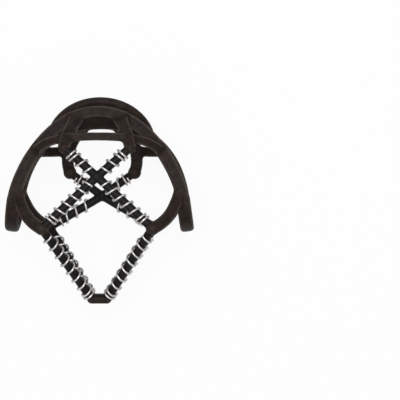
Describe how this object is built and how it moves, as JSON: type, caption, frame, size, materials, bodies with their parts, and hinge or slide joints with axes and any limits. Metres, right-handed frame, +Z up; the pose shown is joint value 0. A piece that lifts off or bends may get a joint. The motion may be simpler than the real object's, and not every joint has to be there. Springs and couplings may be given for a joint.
{
  "type": "ice cleat",
  "caption": "Slip-on ice cleat folded in half at the midfoot: a dark rubber net with open steel wire coils round its cords, stretched over a shoe for grip on ice",
  "frame": {"origin": "on the floor under the middle of the folded cleat's box", "axes": "+Z up, from the heel half's sole to the toe half's sole; +Y from the midfoot bar to the toe and heel rims; +X to the right of the net with the toe half on top"},
  "size_m": [0.096, 0.1059, 0.0635],
  "materials": {
    "net_rubber": "satin",
    "cord_rubber": "satin",
    "coil_steel": "bright"
  },
  "bodies": {
    "heel_half": {"heel_band": "net_rubber", "heel_spoke_left": "net_rubber", "heel_arm_left": "net_rubber", "heel_spoke_right": "net_rubber", "heel_arm_right": "net_rubber", "heel_rail_left": "net_rubber", "heel_rail_right": "net_rubber", "heel_pull_tab": "net_rubber", "heel_cross": "cord_rubber", "side_band_left": "net_rubber", "side_band_right": "net_rubber"},
    "heel_vee": {"heel_vee_left": "cord_rubber", "heel_vee_right": "cord_rubber"},
    "midfoot": {"midfoot_bar": "net_rubber"},
    "toe_vee": {"toe_vee_left": "cord_rubber", "toe_vee_right": "cord_rubber"},
    "toe_half": {"toe_band": "net_rubber", "toe_spoke_left": "net_rubber", "toe_arm_left": "net_rubber", "toe_spoke_right": "net_rubber", "toe_arm_right": "net_rubber", "toe_rail": "net_rubber", "toe_cross": "cord_rubber"},
    "toe_coil_upper_left_body": {"toe_coil_upper_left": "coil_steel"},
    "toe_coil_upper_right_body": {"toe_coil_upper_right": "coil_steel"},
    "toe_coil_lower_left_body": {"toe_coil_lower_left": "coil_steel"},
    "toe_coil_lower_right_body": {"toe_coil_lower_right": "coil_steel"},
    "toe_coil_vee_left_body": {"toe_coil_vee_left": "coil_steel"},
    "toe_coil_vee_right_body": {"toe_coil_vee_right": "coil_steel"},
    "heel_coil_upper_left_body": {"heel_coil_upper_left": "coil_steel"},
    "heel_coil_upper_right_body": {"heel_coil_upper_right": "coil_steel"},
    "heel_coil_lower_left_body": {"heel_coil_lower_left": "coil_steel"},
    "heel_coil_lower_right_body": {"heel_coil_lower_right": "coil_steel"},
    "heel_coil_vee_left_body": {"heel_coil_vee_left": "coil_steel"},
    "heel_coil_vee_right_body": {"heel_coil_vee_right": "coil_steel"}
  },
  "joints": [
    {"name": "heel_node_bend", "type": "hinge", "parent": "heel_half", "child": "heel_vee", "pos_m": [0, -0.01427, 0.00379], "axis": [1, 0, 0], "range_deg": [0, 32.92]},
    {"name": "midfoot_fold_heel", "type": "hinge", "parent": "heel_vee", "child": "midfoot", "pos_m": [0, -0.05058, 0.02729], "axis": [1, 0, 0], "range_deg": [0, 57.08], "deforming": ["side_band_left", "side_band_right"]},
    {"name": "midfoot_fold_toe", "type": "hinge", "parent": "midfoot", "child": "toe_vee", "pos_m": [0, -0.05058, 0.03629], "axis": [1, 0, 0], "range_deg": [0, 57.08]},
    {"name": "toe_node_bend", "type": "hinge", "parent": "toe_vee", "child": "toe_half", "pos_m": [0, -0.01427, 0.05979], "axis": [1, 0, 0], "range_deg": [0, 32.92]},
    {"name": "toe_coil_upper_left_spin", "type": "hinge", "parent": "toe_half", "child": "toe_coil_upper_left_body", "pos_m": [-0.0083, 0.01893, 0.05979], "axis": [-0.7509, 0.6604, 0], "continuous": true},
    {"name": "toe_coil_lower_left_spin", "type": "hinge", "parent": "toe_half", "child": "toe_coil_lower_left_body", "pos_m": [-0.01385, -0.00133, 0.05979], "axis": [-0.7304, -0.683, 0], "continuous": true},
    {"name": "toe_coil_vee_left_spin", "type": "hinge", "parent": "toe_vee", "child": "toe_coil_vee_left_body", "pos_m": [-0.01578, -0.03243, 0.04804], "axis": [0.483, -0.7351, -0.4759], "continuous": true},
    {"name": "toe_coil_upper_right_spin", "type": "hinge", "parent": "toe_half", "child": "toe_coil_upper_right_body", "pos_m": [0.0083, 0.01893, 0.05979], "axis": [0.7509, 0.6604, 0], "continuous": true},
    {"name": "toe_coil_lower_right_spin", "type": "hinge", "parent": "toe_half", "child": "toe_coil_lower_right_body", "pos_m": [0.01385, -0.00133, 0.05979], "axis": [0.7304, -0.683, 0], "continuous": true},
    {"name": "toe_coil_vee_right_spin", "type": "hinge", "parent": "toe_vee", "child": "toe_coil_vee_right_body", "pos_m": [0.01578, -0.03243, 0.04804], "axis": [-0.483, -0.7351, -0.4759], "continuous": true},
    {"name": "heel_coil_upper_left_spin", "type": "hinge", "parent": "heel_half", "child": "heel_coil_upper_left_body", "pos_m": [-0.0085, 0.00827, 0.00379], "axis": [-0.8102, 0.5862, 0], "continuous": true},
    {"name": "heel_coil_lower_left_spin", "type": "hinge", "parent": "heel_half", "child": "heel_coil_lower_left_body", "pos_m": [-0.01385, -0.00607, 0.00379], "axis": [-0.8605, -0.5095, 0], "continuous": true},
    {"name": "heel_coil_vee_left_spin", "type": "hinge", "parent": "heel_vee", "child": "heel_coil_vee_left_body", "pos_m": [-0.01578, -0.03243, 0.01554], "axis": [0.483, -0.7351, 0.4759], "continuous": true},
    {"name": "heel_coil_upper_right_spin", "type": "hinge", "parent": "heel_half", "child": "heel_coil_upper_right_body", "pos_m": [0.0085, 0.00827, 0.00379], "axis": [0.8102, 0.5862, 0], "continuous": true},
    {"name": "heel_coil_lower_right_spin", "type": "hinge", "parent": "heel_half", "child": "heel_coil_lower_right_body", "pos_m": [0.01385, -0.00607, 0.00379], "axis": [0.8605, -0.5095, 0], "continuous": true},
    {"name": "heel_coil_vee_right_spin", "type": "hinge", "parent": "heel_vee", "child": "heel_coil_vee_right_body", "pos_m": [0.01578, -0.03243, 0.01554], "axis": [-0.483, -0.7351, 0.4759], "continuous": true}
  ],
  "couplings": [
    {"joint": "midfoot_fold_toe", "follows": "midfoot_fold_heel", "ratio": 1},
    {"joint": "heel_node_bend", "follows": "midfoot_fold_heel", "ratio": 0.57669},
    {"joint": "toe_node_bend", "follows": "midfoot_fold_heel", "ratio": 0.57669}
  ]
}
